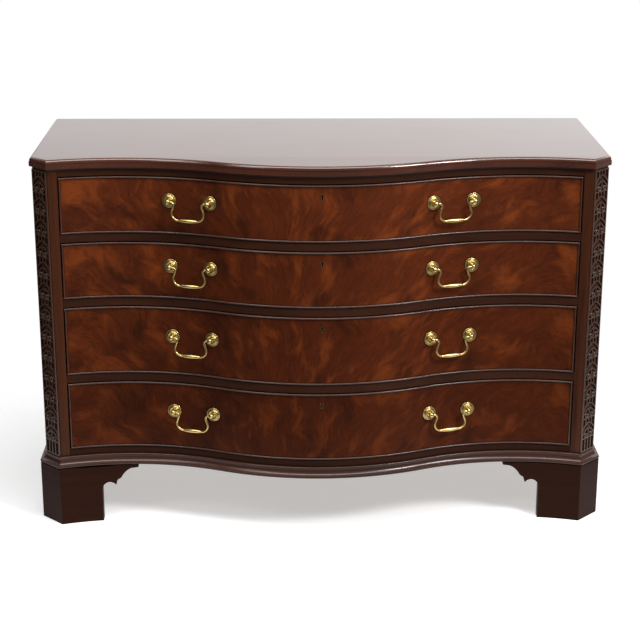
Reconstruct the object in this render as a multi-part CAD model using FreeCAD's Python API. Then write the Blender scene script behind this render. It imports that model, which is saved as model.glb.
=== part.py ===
import FreeCAD
import Part
import math
import os

# Serpentine chest of drawers on bracket feet.
# Millimetres. +Z is up and the front faces -Y. The origin is on the floor,
# under the middle of the chest's whole width and depth.

# Case
case_width = 1356.0        # across the outer edges of the canted corners
case_depth = 448.0         # from those edges to the back of the case
cant = 40.0                # each leg of the 45 degree corner
stile = 22.0               # flat of a corner post beside the drawers
post_depth = 28.0          # corner post, back along the side
side_thickness = 20.0
back_thickness = 10.0
back_boards = 4

# Serpentine front: a bow in the middle between two hollows
hollow_x = 470.0           # from the middle to the deepest point of a hollow
bow_radius = 600.0
hollow_radius = 576.0

# Heights, from the floor up
foot_height = 150.0
base_height = 24.0         # base moulding
bottom_rail = 17.0         # strip of the bottom rail that shows
deep_opening = 172.0       # each of the two lower drawers
shallow_opening = 139.5    # each of the two upper drawers
rail = 20.0                # rail between two drawers
top_rail = 15.0
top_thickness = 27.0

# Rails, runners and boards inside the case
rail_depth = 48.0          # back edge of the rails, behind the outer edge of the cant
tenon_length = 14.0
tenon_width = 24.0
tenon_shoulder = 4.0       # above and below a tenon
runner_width = 62.0
guide_height = 25.0
guide_clearance = 0.8      # between a guide and a drawer side
dust_board = 6.0
dust_groove = 6.0
bottom_board = 12.0
back_rail_depth = 24.0
stop_width = 40.0
stop_depth = 18.0
stop_height = 6.0
stop_clearance = 0.3       # between a shut drawer and its stop

# Edge of the top, measured out from the face of the case
top_out = 7.0
top_back = 5.0             # overhang at the back
crown_height = 11.0        # rounded upper part of the edge
crown_quirk = 1.5          # step below the rounded part
crown_radius = 8.5
undercut = 5.0             # height of the strip under the edge, flush with the case
screw_radius = 2.0
screw_head_radius = 4.2
screw_head = 4.0
screw_bite = 14.0          # length in the top
screw_clearance = 0.1
screw_x = 440.0            # the outer screws, from the middle

# Base moulding, measured out from the face of the case
base_out = 17.0
base_fillet = 2.5          # lowest flat
base_quirk = 1.6           # step between the flats
cavetto_reach = 10.5
cavetto_height = 13.0
base_bead = 3.5            # flat and bead above the cavetto

# Bracket feet
foot_out = 16.5
foot_thickness = 22.0
foot_cant_out = 14.5       # cant of a front foot, set back from the line of its front and side
foot_step = 3.2            # rebate along the top edge of a foot
foot_step_depth = 3.0
foot_arris = 2.0           # rounding below the rebate
foot_column = 154.0        # front column, from the side of the foot inward
foot_side_column = 86.0    # side column, from the outer edge of the cant back
foot_back_column = 64.0
foot_wing = 90.0           # bracket beyond the column
foot_drop = 67.0           # from the top of a foot to the end of its column's straight edge
foot_back_bracket = 130.0
block_size = 42.0          # glue blocks behind the feet
block_lift = 3.0

# Fret on the canted corners
fret_thickness = 3.6
fret_margin = 2.0          # bare cant at each side of the fret
fret_end = 1.0             # clear of the mouldings above and below
fret_border = 3.2          # plain edge strip
fret_repeat = 52.0         # height of one pattern
fret_bar = 3.6             # width of the bars and arches
upright_x = 11.5           # the outer uprights, from the middle
arch_drop = 12.0           # from the head of a pattern to the point of its arch
arch_fall = 20.0           # from that point to the foot of the arch, at the edge
arch_bow = 3.0
arch_lag = 14.0            # second arch below the first
ring_x = 10.5              # the two raised rings at the foot of a pattern
ring_rise = 7.4            # above the foot of the pattern
ring_radius = 6.6
ring_hole = 2.4
ring_height = 1.8

# Drawers
drawer_gap = 2.4           # at each end of a drawer front
drawer_top_gap = 2.2
drawer_lift = 1.6          # front clear of the rail below
front_thickness = 24.0
bead_thickness = 4.0
bead_proud = 3.0
bead_depth = 15.0          # from the nose of the bead to its back
drawer_side = 13.0
drawer_side_drop = 6.0     # drawer sides below the top of the front
drawer_back = 13.0
drawer_back_drop = 4.0     # drawer back below its sides
drawer_back_gap = 12.0     # shut drawer clear of the back boards
drawer_bottom = 8.0
drawer_bottom_rise = 11.0
drawer_groove = 6.0
tail_pitch = 34.0          # dovetails up a drawer side
tail_width = 20.0
tail_length = 10.0
tail_flare = 1.7           # widening of a tail from root to end
pin_width = 8.0            # pins of a drawer back

# Locks
lock_width = 64.0
lock_height = 40.0
lock_depth = 14.0
lock_let_in = 9.0          # depth of the lock in the drawer front
lock_drop = 7.0            # below the top of the front
bolt_width = 24.0
bolt_height = 16.0
bolt_depth = 5.0
strike_depth = 8.0         # mortise in the rail above
strike_clearance = 1.0
keyhole_drop = 29.0        # middle of a keyhole below the top of the front
keyhole_height = 13.0
keyhole_radius = 2.7
keyhole_slot = 3.0
liner_wall = 0.9
liner_depth = 5.0
liner_proud = 0.3

# Handles
handle_x = 310.0           # middle of a handle from the middle of the chest
handle_rise = 12.0         # above the middle of the drawer front
handle_boring = 100.0      # between the two posts
rosette_radius = 17.0
rosette_rim = 2.2          # thickness at the rim
rosette_round = 0.8        # rounding of the rim
rosette_flat = 1.4         # flat inside the rim
rosette_quirk = 0.7        # step down inside that flat
rosette_height = 6.5
rosette_ring = 10.5        # radius of the raised ring
rosette_bead = 1.5         # half the width of that ring
rosette_dish = 2.4         # depth of the hollow round the post
rosette_seat = 0.3         # flat back clear of the curve of the drawer front
eye_out = 15.0             # bail axis from the drawer front
ball_radius = 6.0
post_neck = 3.4
post_shank = 2.3
shank_clearance = 0.1
nut_width = 11.0
nut_thickness = 4.0
nut_clearance = 0.1
shank_past_nut = 3.0
post_seat = 0.1            # shoulder of a post above the drawer front
pin_radius = 2.1
pin_clearance = 0.25
pin_past = 2.0             # pin beyond the middle of the ball
pin_end_clearance = 1.0
wire_radius = 2.5
neck_clearance = 0.6       # shoulder of the bail from the ball
neck_run = 1.0
neck_radius = 7.0          # bend beside a post
elbow_radius = 17.0        # bend into the grip
neck_turn = 110.0          # degrees turned by each of the two bends
bail_drop = 43.0
grip_radius = 4.6

Vec = FreeCAD.Vector
UP = Vec(0, 0, 1)
AHEAD = Vec(0, -1, 0)

# Front curve and the corners
half_width = case_width / 2
swing = math.asin(hollow_x / (bow_radius + hollow_radius))
corner_x = half_width - cant
hollow_sag = hollow_radius - math.sqrt(hollow_radius ** 2 - (corner_x - hollow_x) ** 2)
bow_depth = cant - hollow_sag + (bow_radius + hollow_radius) * (1 - math.cos(swing))
front_reach = bow_depth + base_out
back_reach = case_depth + top_back
corner_y = (front_reach - back_reach) / 2
bow_centre = Vec(0, corner_y - bow_depth + bow_radius, 0)
hollow_centre = Vec(hollow_x, corner_y - cant + hollow_sag - hollow_radius, 0)

# Inside of the case
opening = corner_x - stile
inner_width = half_width - side_thickness
back_y = corner_y + case_depth
back_face = back_y - back_thickness
rail_back = corner_y + rail_depth
base_top = foot_height + base_height
opening_heights = [shallow_opening, shallow_opening, deep_opening, deep_opening]
floor_of_bays = base_top + bottom_rail
bays = []
for height in reversed(opening_heights):
    bays.insert(0, (floor_of_bays, floor_of_bays + height))
    floor_of_bays += height + rail
bay_top = bays[0][1]
case_top = bay_top + top_rail
chest_top = case_top + top_thickness
foot_in = foot_out - foot_thickness

# Plan of a drawer and its lock
drawer_half = opening - drawer_gap
drawer_end = back_face - drawer_back_gap
lock_front = corner_y - bow_depth + front_thickness - lock_let_in
bolt_front = lock_front + (lock_depth - bolt_depth) / 2

CUT_PAST = 1.0             # how far a cutting shape runs past what it cuts


def front_y(x, out=0.0):
    """Y of the front at x, that far out from the face of the case."""
    x = abs(x)
    bow = bow_radius + out
    if x <= bow * math.sin(swing):
        return bow_centre.y - math.sqrt(bow ** 2 - x ** 2)
    hollow = hollow_radius - out
    return hollow_centre.y + math.sqrt(hollow ** 2 - (x - hollow_x) ** 2)


def front_turn(x):
    """Angle, in radians, by which the front at x is turned towards +X."""
    if abs(x) <= bow_radius * math.sin(swing):
        return math.asin(x / bow_radius)
    side = 1 if x > 0 else -1
    return side * math.asin((hollow_x - abs(x)) / hollow_radius)


def inner_corner(out):
    """Where the front meets the right cant, that far out from the case."""
    radius = hollow_radius - out
    line = half_width - corner_y + out * math.sqrt(2)
    shift = hollow_centre.x - hollow_centre.y - line
    across = (math.sqrt(2 * radius ** 2 - shift ** 2) - shift) / 2
    return Vec(hollow_centre.x + across, hollow_centre.x + across - line, 0)


def outer_corner(out):
    """Where the right cant meets the side, that far out from the case."""
    return Vec(half_width + out, corner_y - out * (math.sqrt(2) - 1), 0)


def front_run(out, x0, x1):
    """Edges of the front curve from x0 to x1, that far out from the case."""
    inflection = (bow_radius + out) * math.sin(swing)
    stops = [x0] + [x for x in (-inflection, inflection) if x0 < x < x1] + [x1]
    edges = []
    for start, end in zip(stops, stops[1:]):
        spots = [Vec(x, front_y(x, out), 0) for x in (start, (start + end) / 2, end)]
        edges.append(Part.Arc(*spots).toShape())
    return edges


def chain(*points):
    """Straight edges from point to point."""
    return [Part.makeLine(a, b) for a, b in zip(points, points[1:])]


def prism(edges, z0, z1):
    """Upright solid on a closed plan."""
    face = Part.Face(Part.Wire(Part.__sortEdges__(edges)))
    face.translate(UP * z0)
    return face.extrude(UP * (z1 - z0))


def block(x0, x1, y0, y1, z0, z1):
    return Part.makeBox(x1 - x0, y1 - y0, z1 - z0, Vec(x0, y0, z0))


def on_front(x, out):
    return Vec(x, front_y(x, out), 0)


def curved_slab(out, back_out, x0, x1, z0, z1):
    """Board whose front and back both follow the front of the chest."""
    ends = chain(on_front(x0, out), on_front(x0, back_out))
    ends += chain(on_front(x1, out), on_front(x1, back_out))
    return prism(front_run(out, x0, x1) + front_run(back_out, x0, x1) + ends, z0, z1)


def straight_backed_slab(out, x, back, z0, z1):
    """Board from -x to x with a serpentine front edge and a straight back edge."""
    rest = chain(on_front(-x, out), Vec(-x, back, 0), Vec(x, back, 0), on_front(x, out))
    return prism(front_run(out, -x, x) + rest, z0, z1)


def plan_edges(out, back):
    """Outline of the whole chest, that far out from the case at the front and sides."""
    inner, outer = inner_corner(out), outer_corner(out)
    right = [inner, outer, Vec(outer.x, back, 0)]
    left = [Vec(-p.x, p.y, 0) for p in reversed(right)]
    return front_run(out, -inner.x, inner.x) + chain(*right, *left)


def mirrored(shape):
    return shape.mirror(Vec(), Vec(1, 0, 0))


def one(shape):
    """The single solid of a shape that a boolean left in a compound."""
    solids = shape.removeSplitter().Solids
    assert len(solids) == 1, "expected one solid, found %d" % len(solids)
    return solids[0]


def section(steps, place):
    """Face of a closed outline. A step is a point, or the middle and end of an arc."""
    here = start = place(*steps[0])
    edges = []
    for step in steps[1:]:
        if isinstance(step[0], tuple):
            middle, end = place(*step[0]), place(*step[1])
            edges.append(Part.Arc(here, middle, end).toShape())
        else:
            end = place(*step)
            edges.append(Part.makeLine(here, end))
        here = end
    edges.append(Part.makeLine(here, start))
    return Part.Face(Part.Wire(edges))


def half_round(out, low, radius):
    """Steps of a half-round nose that starts at (out, low), in two quarters."""
    share = radius * math.sqrt(0.5)
    middle = low + radius
    return [((out + share, middle - share), (out + radius, middle)),
            ((out + share, middle + share), (out, middle + radius))]


def arc_run(steps, centre, radius, side, start, turn):
    """Moulding section carried round an arc; side is 1 where the arc bulges forward."""
    face = section(steps, lambda out, z: Vec(radius + side * out, 0, z))
    face.rotate(Vec(), UP, start)
    face.translate(centre)
    return face.revolve(centre, UP, turn)


def front_moulding(steps, x):
    """Moulding section carried along the front from -x to x."""
    degrees = math.degrees(swing)
    past = math.degrees(math.asin((x - hollow_x) / (hollow_radius - base_out)))
    bow = arc_run(steps, bow_centre, bow_radius, 1, -90 - degrees, 2 * degrees)
    hollow = arc_run(steps, hollow_centre, hollow_radius, -1, 90 - past, past + degrees)
    return one(bow.fuse([hollow, mirrored(hollow)]))


def straight_moulding(steps, start, end):
    """Moulding section carried along a straight edge, its outside on the right hand."""
    outward = (end - start).normalize().cross(UP)
    face = section(steps, lambda out, z: start + outward * out + UP * z)
    return face.extrude(end - start)


def edge_mouldings(steps, past):
    """A section carried along the front, the right cant and the right side, past the corners."""
    along_cant = (outer_corner(0) - inner_corner(0)).normalize() * past
    cant_run = straight_moulding(steps, inner_corner(0) - along_cant, outer_corner(0) + along_cant)
    side_start = outer_corner(0) - Vec(0, past, 0)
    side_run = straight_moulding(steps, side_start, Vec(half_width, back_y + top_back, 0))
    return front_moulding(steps, corner_x + past), cant_run, side_run


def lathe(steps):
    """Turned piece whose axis points ahead; steps are (height ahead, radius)."""
    face = section(steps, lambda ahead, radius: Vec(radius, -ahead, 0))
    return face.revolve(Vec(), AHEAD, 360)


def save(name, *solids):
    """One node: its solids, each a separate piece."""
    shape = solids[0] if len(solids) == 1 else Part.makeCompound(list(solids))
    assert shape.isValid(), name
    shape.exportStep("parts/%s.step" % name)


def both_sides(shape):
    return [mirrored(shape), shape]


def with_mirrored(shapes):
    return shapes + [mirrored(shape) for shape in shapes]


# Case joinery

def rail_tenon(z0, z1):
    """Right tenon of a rail."""
    back = corner_y + tenon_width / 2
    return block(opening, opening + tenon_length, back - tenon_width, back,
                 z0 + tenon_shoulder, z1 - tenon_shoulder)


def serpentine_rail(z0, z1):
    slab = straight_backed_slab(0, opening, rail_back, z0, z1)
    return one(slab.fuse(both_sides(rail_tenon(z0, z1))))


def corner_post(rail_heights):
    """Right corner post, mortised for the rails."""
    inner, outer = inner_corner(0), outer_corner(0)
    back = corner_y + post_depth
    rest = chain(inner, outer, Vec(outer.x, back, 0), Vec(opening, back, 0), on_front(opening, 0))
    post = prism(front_run(0, opening, inner.x) + rest, foot_height, case_top)
    return one(post.cut([rail_tenon(z0, z1) for z0, z1 in rail_heights]))


def side_panel():
    return block(inner_width, half_width, corner_y + post_depth, back_y, foot_height, case_top)


def back_panel():
    """Level boards, edge to edge, between the sides."""
    height = (case_top - foot_height) / back_boards
    return [block(-inner_width, inner_width, back_face, back_y,
                  foot_height + height * i, foot_height + height * (i + 1))
            for i in range(back_boards)]


def back_rail():
    return block(-inner_width, inner_width, back_face - back_rail_depth, back_face,
                 bay_top, case_top)


def runner(z0, z1, back):
    """Right runner behind a rail, flush with it."""
    return block(inner_width - runner_width, inner_width, rail_back, back, z0, z1)


def dust_panel(z0, z1):
    """Thin board held in grooves in a rail and its runners."""
    middle = (z0 + z1) / 2
    half = inner_width - runner_width + dust_groove
    return block(-half, half, rail_back - dust_groove, back_face,
                 middle - dust_board / 2, middle + dust_board / 2)


def guide(z0):
    """Right guide, on a runner, that keeps a drawer straight."""
    near = drawer_half + guide_clearance
    return block(near, inner_width, rail_back, back_face, z0, z0 + guide_height)


def drawer_stop(z0):
    """Right stop, on a rail, that the back of a shut drawer front meets."""
    ahead = curved_slab(CUT_PAST, -front_thickness - stop_clearance, 0, opening, z0, z0 + stop_height)
    front = front_y(hollow_x, -front_thickness)
    stop = block(hollow_x - stop_width / 2, hollow_x + stop_width / 2,
                 front - CUT_PAST, front + stop_depth, z0, z0 + stop_height)
    return one(stop.cut(ahead))


def top_screw_places():
    rows = [rail_back - rail_depth / 2, back_face - back_rail_depth / 2]
    return [(x, y) for y in rows for x in (-screw_x, 0, screw_x)]


def top_screw(x, y, extra):
    """Screw driven up into the top, or, with extra, the hole for it."""
    foot = Vec(x, y, bay_top)
    shank = Part.makeCylinder(screw_radius + extra, top_rail + screw_bite + extra, foot)
    head = Part.makeCylinder(screw_head_radius + extra, screw_head, foot)
    return one(shank.fuse(head))


def top_screws(extra):
    """Front row through the top rail, back row through the back rail."""
    return [top_screw(x, y, extra) for x, y in top_screw_places()]


def top_board():
    """Top with a rounded edge over a quirk, undercut below, on the front, cants and sides."""
    board = prism(plan_edges(top_out, back_y + top_back), case_top, chest_top)
    past = top_out + CUT_PAST
    crown_out = top_out - crown_quirk
    quirk = chest_top - crown_height
    bend = crown_radius * (1 - math.sqrt(0.5))
    rounding = [(crown_out, quirk), (crown_out, chest_top - crown_radius),
                ((crown_out - bend, chest_top - bend), (crown_out - crown_radius, chest_top)),
                (crown_out - crown_radius, chest_top + CUT_PAST), (past, chest_top + CUT_PAST),
                (past, quirk)]
    under = [(0, case_top - CUT_PAST), (0, case_top + undercut), (past, case_top + undercut),
             (past, case_top - CUT_PAST)]
    for steps in (rounding, under):
        front, cant_run, side_run = edge_mouldings(steps, cant)
        board = board.cut([front] + both_sides(cant_run) + both_sides(side_run))
    return one(board.cut(top_screws(screw_clearance)))


# Base

def base_moulding():
    """Front, cant and side lengths, mitred at the corners."""
    flat = foot_height + base_fillet
    foot_of_cavetto = flat + base_fillet
    low = base_out - base_quirk
    high = low - cavetto_reach
    head = foot_of_cavetto + cavetto_height
    hollow = (low - cavetto_reach * math.sqrt(0.5), head - cavetto_height * math.sqrt(0.5))
    steps = [(0, foot_height), (base_out, foot_height), (base_out, flat), (low, flat),
             (low, foot_of_cavetto), (hollow, (high, head)), (high, base_top - base_bead),
             *half_round(high, base_top - base_bead, base_bead / 2), (0, base_top)]
    front, cant_run, side_run = edge_mouldings(steps, cant)
    far, near = front_reach, -base_out / 2
    inner = [inner_corner(near), inner_corner(far)]
    outer = [outer_corner(near), outer_corner(far)]
    inside = Vec(inner[0].x, corner_y + cant, 0)
    left = [Vec(-p.x, p.y, 0) for p in (inner[1], inner[0], inside)]
    front_zone = [inside, inner[0], inner[1], *left]
    cant_zone = [inner[0], inner[1], outer[1], outer[0]]
    side_zone = [outer[0], outer[1], Vec(outer[1].x, back_y, 0), Vec(outer[0].x, back_y, 0)]
    pieces = []
    for run, zone in ((front, front_zone), (cant_run, cant_zone), (side_run, side_zone)):
        mitre = prism(chain(*zone, zone[0]), foot_height - CUT_PAST, base_top + CUT_PAST)
        pieces.append(one(run.common(mitre)))
    return [pieces[0]] + both_sides(pieces[1]) + both_sides(pieces[2])


def bracket_void(place, sweep):
    """Space under the wing of a bracket foot.

    The curves run from the column out to the tip: an arch down to a blunt cusp, a step up to a
    belly, and a hollow. Their points are shares of the wing's length and of its drop.
    """
    def at(along, below):
        return along * foot_wing, below * foot_drop

    past, floor = foot_wing + CUT_PAST, foot_height + CUT_PAST
    arch = [(at(0.05, 0.80), at(0.19, 0.705)), (at(0.285, 0.735), at(0.355, 0.81))]
    cusp = at(0.38, 0.815)
    step = (at(0.395, 0.69), at(0.435, 0.605))
    belly = (at(0.49, 0.565), at(0.535, 0.50))
    hollow = (at(0.66, 0.285), at(0.80, 0.165))
    steps = [(0, floor), (0, foot_drop), *arch, cusp, step, belly, hollow, at(0.94, 0.14),
             (past, 0.12 * foot_drop), (past, floor)]
    return section(steps, place).extrude(sweep)


def side_bracket_void(column_y, direction):
    """Space under a wing on the right side, running back or forward from a column."""
    x = half_width + foot_in - CUT_PAST
    return bracket_void(
        lambda along, drop: Vec(x, column_y + direction * along, foot_height - drop),
        Vec(foot_thickness + 2 * CUT_PAST, 0, 0))


def foot_rebate(out):
    """Section cut along the top edge of a foot whose face stands that far out."""
    ledge = foot_height - foot_step
    inside, past = out - foot_step_depth, foot_out + CUT_PAST
    bend = foot_arris * (1 - math.sqrt(0.5))
    return [(inside, foot_height + CUT_PAST), (inside, ledge), (out - foot_arris, ledge),
            ((out - bend, ledge - bend), (out, ledge - foot_arris)),
            (past, ledge - foot_arris), (past, foot_height + CUT_PAST)]


def foot_cuts():
    """Rebates of the right feet on the front, the cant and the side, and what the cant is set back."""
    front, _, side_run = edge_mouldings(foot_rebate(foot_out), cant)
    past, low, high = foot_out + CUT_PAST, -CUT_PAST, foot_height + CUT_PAST
    set_back = [(foot_cant_out, low), (past, low), (past, high), (foot_cant_out, high)]
    cant_cuts = [edge_mouldings(steps, cant)[1] for steps in (foot_rebate(foot_cant_out), set_back)]
    return [front, side_run, *cant_cuts]


def front_foot():
    """Right front foot: shaped front bracket, cant and side bracket."""
    column_x = half_width + foot_out - foot_column
    column_y = corner_y + foot_side_column
    tip_x, tip_y = column_x - foot_wing, column_y + foot_wing
    edges = []
    ends = []
    for out in (foot_out, foot_in):
        inner, outer = inner_corner(out), outer_corner(out)
        side_end = Vec(outer.x, tip_y, 0)
        edges += front_run(out, tip_x, inner.x) + chain(inner, outer, side_end)
        ends.append((on_front(tip_x, out), side_end))
    edges += chain(ends[0][0], ends[1][0]) + chain(ends[0][1], ends[1][1])
    foot = prism(edges, 0, foot_height)
    front_void = bracket_void(
        lambda along, drop: Vec(column_x - along, corner_y - front_reach, foot_height - drop),
        Vec(0, front_reach + cant, 0))
    return one(foot.cut([front_void, side_bracket_void(column_y, 1), *foot_cuts()]))


def back_foot():
    """Right back foot: shaped side bracket and a plain bracket across the back."""
    outside, inside = half_width + foot_out, half_width + foot_in
    column_y = back_y - foot_back_column
    side = block(inside, outside, column_y - foot_wing, back_y, 0, foot_height)
    plain = block(outside - foot_back_bracket, outside, back_y - foot_thickness, back_y, 0, foot_height)
    slope_x, slope_z = outside - foot_back_bracket, foot_height / 2
    slope = chain(Vec(slope_x, 0, slope_z), Vec(inside - block_size, 0, 0), Vec(slope_x, 0, 0),
                  Vec(slope_x, 0, slope_z))
    under = Part.Face(Part.Wire(slope))
    under.translate(Vec(0, back_y - foot_thickness, 0))
    foot = side.cut(side_bracket_void(column_y, -1)).fuse(plain)
    side_rebate = foot_cuts()[1]
    return one(foot.cut([under.extrude(Vec(0, foot_thickness, 0)), side_rebate]))


def foot_blocks():
    """Right glue blocks, behind the front foot and the back foot."""
    inside = half_width + foot_in
    front = outer_corner(foot_in).y
    back = back_y - foot_thickness
    return [block(inside - block_size, inside, y, y + block_size, block_lift, foot_height)
            for y in (front, back - block_size)]


# Fret

def fret_block(x, width, low, high):
    return block(x - width / 2, x + width / 2, -fret_thickness, 0, low, high)


def fret_arch(head, inside):
    """Right half of a pointed arch, from its point down to the border."""
    start, end = Vec(0, 0, head), Vec(inside + fret_border / 2, 0, head - arch_fall)
    across = AHEAD.cross(end - start).normalize()
    middle = (start + end) / 2 + across * arch_bow
    half = across * (fret_bar / 2)
    edges = [Part.Arc(start + way, middle + way, end + way).toShape() for way in (half, -half)]
    edges += chain(start + half, start - half) + chain(end + half, end - half)
    return Part.Face(Part.Wire(Part.__sortEdges__(edges))).extrude(AHEAD * fret_thickness)


def fret_ring(height):
    """Right ring, raised, with a round top."""
    crest = (fret_thickness + ring_height, (ring_radius + ring_hole) / 2)
    ring = lathe([(0, ring_hole), (0, ring_radius), (fret_thickness, ring_radius),
                  (crest, (fret_thickness, ring_hole))])
    ring.translate(Vec(ring_x, 0, height))
    return ring


def fret_pattern(inside):
    """One pattern, from 0 down: a bar, uprights, two pointed arches and two rings."""
    second = -arch_drop - arch_lag
    upright_foot = arch_bow - arch_drop - arch_fall * (upright_x - fret_bar / 2) / inside
    pieces = [fret_block(0, 2 * inside + fret_border, -fret_bar / 2, fret_bar / 2),
              fret_block(0, fret_bar, -arch_drop, 0),
              fret_block(0, fret_bar, -fret_repeat, second + fret_bar / 3)]
    pieces += both_sides(fret_block(upright_x, fret_bar, upright_foot, 0))
    for head in (-arch_drop, second):
        pieces += both_sides(fret_arch(head, inside))
    pieces += both_sides(fret_ring(ring_rise - fret_repeat))
    return pieces[0].fuse(pieces[1:])


def fret():
    """Openwork strip for the right cant, its pattern repeated from the top down."""
    half = cant / math.sqrt(2) - fret_margin
    inside = half - fret_border
    low, high = base_top + fret_end, case_top - fret_end
    pattern = fret_pattern(inside)
    pieces = [fret_block(0, 2 * half, z, z + fret_border) for z in (low, high - fret_border)]
    pieces += both_sides(fret_block(half - fret_border / 2, fret_border, low, high))
    head = high - fret_bar / 2
    while head - fret_repeat > low:
        repeat = pattern.copy()
        repeat.translate(UP * head)
        pieces.append(repeat)
        head -= fret_repeat
    for x in (-upright_x, 0, upright_x):
        pieces.append(fret_block(x, fret_bar, low, head))
    pieces.append(fret_block(0, 2 * half, head - fret_bar / 2, head + fret_bar / 2))
    piece = one(pieces[0].fuse(pieces[1:]))
    piece.rotate(Vec(), UP, 45)
    piece.translate((inner_corner(0) + outer_corner(0)) / 2)
    return piece


# Drawers

def drawer_beads(z0, z1):
    """Cockbead round a drawer front: bottom, top, left and right strips with round noses."""
    half = drawer_half
    nose = bead_thickness / 2
    shoulder = bead_proud - nose
    back = bead_proud - bead_depth
    trim = block(-half, half, corner_y - front_reach, rail_back, z0 - CUT_PAST, z1 + CUT_PAST)
    strips = []
    for low in (z0, z1 - bead_thickness):
        steps = [(back, low), (shoulder, low), *half_round(shoulder, low, nose), (back, low + bead_thickness)]
        strips.append(one(front_moulding(steps, half + CUT_PAST).common(trim)))
    inside = half - bead_thickness
    rounded = Part.Arc(on_front(inside, shoulder), on_front(half - nose, bead_proud),
                       on_front(half, shoulder)).toShape()
    rest = chain(on_front(half, shoulder), on_front(half, back), on_front(inside, back),
                 on_front(inside, shoulder))
    strips += both_sides(prism([rounded] + rest, z0 + bead_thickness, z1 - bead_thickness))
    return strips


def tail_places(z0, z1):
    """Middles of the dovetails up a drawer side."""
    count = max(2, int((z1 - z0) // tail_pitch))
    pitch = (z1 - z0) / count
    return [z0 + pitch * (i + 0.5) for i in range(count)]


def dovetail(root_y, end_y, z):
    """Tail of a right drawer side, widening from root to end."""
    x = drawer_half - drawer_side
    root, end = tail_width / 2, tail_width / 2 + tail_flare
    spots = [Vec(x, root_y, z - root), Vec(x, end_y, z - end), Vec(x, end_y, z + end),
             Vec(x, root_y, z + root)]
    return Part.Face(Part.Wire(chain(*spots, spots[0]))).extrude(Vec(drawer_side, 0, 0))


def front_tails(z0, z1):
    """Tails of the right side, let into the end of the drawer front."""
    root_y = front_y(drawer_half, -front_thickness)
    return [dovetail(root_y + drawer_side, root_y - tail_length, z) for z in tail_places(z0, z1)]


def back_pins(z0, z1):
    """Right pins of a drawer back, let through the side."""
    half = pin_width / 2
    return [block(drawer_half - drawer_side, drawer_half, drawer_end - drawer_back, drawer_end,
                  z - half, z + half) for z in tail_places(z0, z1)]


def drawer_panel(z0):
    """Bottom board, held in grooves in the front and sides, and under the back."""
    low = z0 + drawer_bottom_rise
    half = drawer_half - drawer_side + drawer_groove
    return straight_backed_slab(drawer_groove - front_thickness, half, drawer_end, low, low + drawer_bottom)


def drawer_side_board(z0, z1, tails, cuts):
    """Right side, ending against the back of the drawer front but for its tails."""
    front = front_y(drawer_half, -front_thickness)
    side = block(drawer_half - drawer_side, drawer_half, front - cant, drawer_end, z0, z1)
    ahead = curved_slab(front_thickness, -front_thickness, 0, drawer_half + CUT_PAST, z0, z1)
    return one(side.cut(ahead).fuse(tails).cut(cuts))


def drawer_back_board(z0, z1, pins):
    half = drawer_half - drawer_side
    board = block(-half, half, drawer_end - drawer_back, drawer_end, z0, z1)
    return one(board.fuse(with_mirrored(pins)))


def drawer_front(z0, z1, handle_z, cuts):
    """Front, rebated for its cockbead and cut for its sides, bottom, lock and handles."""
    front = curved_slab(0, -front_thickness, -drawer_half, drawer_half, z0, z1)
    liner_seat = keyhole(z1 - keyhole_drop, liner_wall, liner_depth, liner_proud)
    key_way = keyhole(z1 - keyhole_drop, 0, front_thickness, 0)
    holes = [set_on_front(shank_hole(), x, handle_z) for x in post_places()]
    return one(front.cut(cuts + [liner_seat, key_way, lock_body(z1)] + with_mirrored(holes)))


def keyhole(z, wall, depth, proud):
    """Keyhole-shaped plug, with its front standing proud of the drawer front."""
    start = Vec(0, front_y(0) - proud, 0)
    radius = keyhole_radius + wall
    eye_z = z + keyhole_height / 2 - keyhole_radius
    eye = Part.makeCylinder(radius, depth, start + UP * eye_z, AHEAD * -1)
    half = keyhole_slot / 2 + wall
    slot = block(-half, half, start.y, start.y + depth, z - keyhole_height / 2 - wall, eye_z)
    return one(eye.fuse(slot))


def lock_body(z1):
    """Block that a lock fills, let into the back of a drawer front."""
    top = z1 - lock_drop
    half = lock_width / 2
    return block(-half, half, lock_front, lock_front + lock_depth, top - lock_height, top)


def drawer_lock(z1):
    """Lock case, its bolt drawn back, and the keyhole's metal liner."""
    top = z1 - lock_drop
    half = bolt_width / 2
    bolt = block(-half, half, bolt_front, bolt_front + bolt_depth, top - bolt_height, top)
    middle = z1 - keyhole_drop
    key_space = keyhole(middle, 0, bolt_front - front_y(0), 0)
    liner = keyhole(middle, liner_wall, liner_depth, liner_proud)
    liner_hole = keyhole(middle, 0, liner_depth, liner_proud)
    return [one(lock_body(z1).cut([bolt, key_space])), bolt, one(liner.cut(liner_hole))]


def strike(z0):
    """Mortise for a lock's bolt in the underside of the rail at z0."""
    half = bolt_width / 2 + strike_clearance
    front, back = bolt_front - strike_clearance, bolt_front + bolt_depth + strike_clearance
    return block(-half, half, front, back, z0, z0 + strike_depth)


# Handles

def post_places():
    """X of the inner and outer posts of the right handle."""
    half = handle_boring / 2 * math.cos(front_turn(handle_x))
    return handle_x - half, handle_x + half


def set_on_front(shape, x, z):
    """Turns a piece that points ahead to stand square on the front at x."""
    shape.rotate(Vec(), UP, math.degrees(front_turn(x)))
    shape.translate(on_front(x, 0) + UP * z)
    return shape


def eye_point(x):
    turn = front_turn(x)
    return on_front(x, 0) + Vec(math.sin(turn), -math.cos(turn), 0) * eye_out


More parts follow.
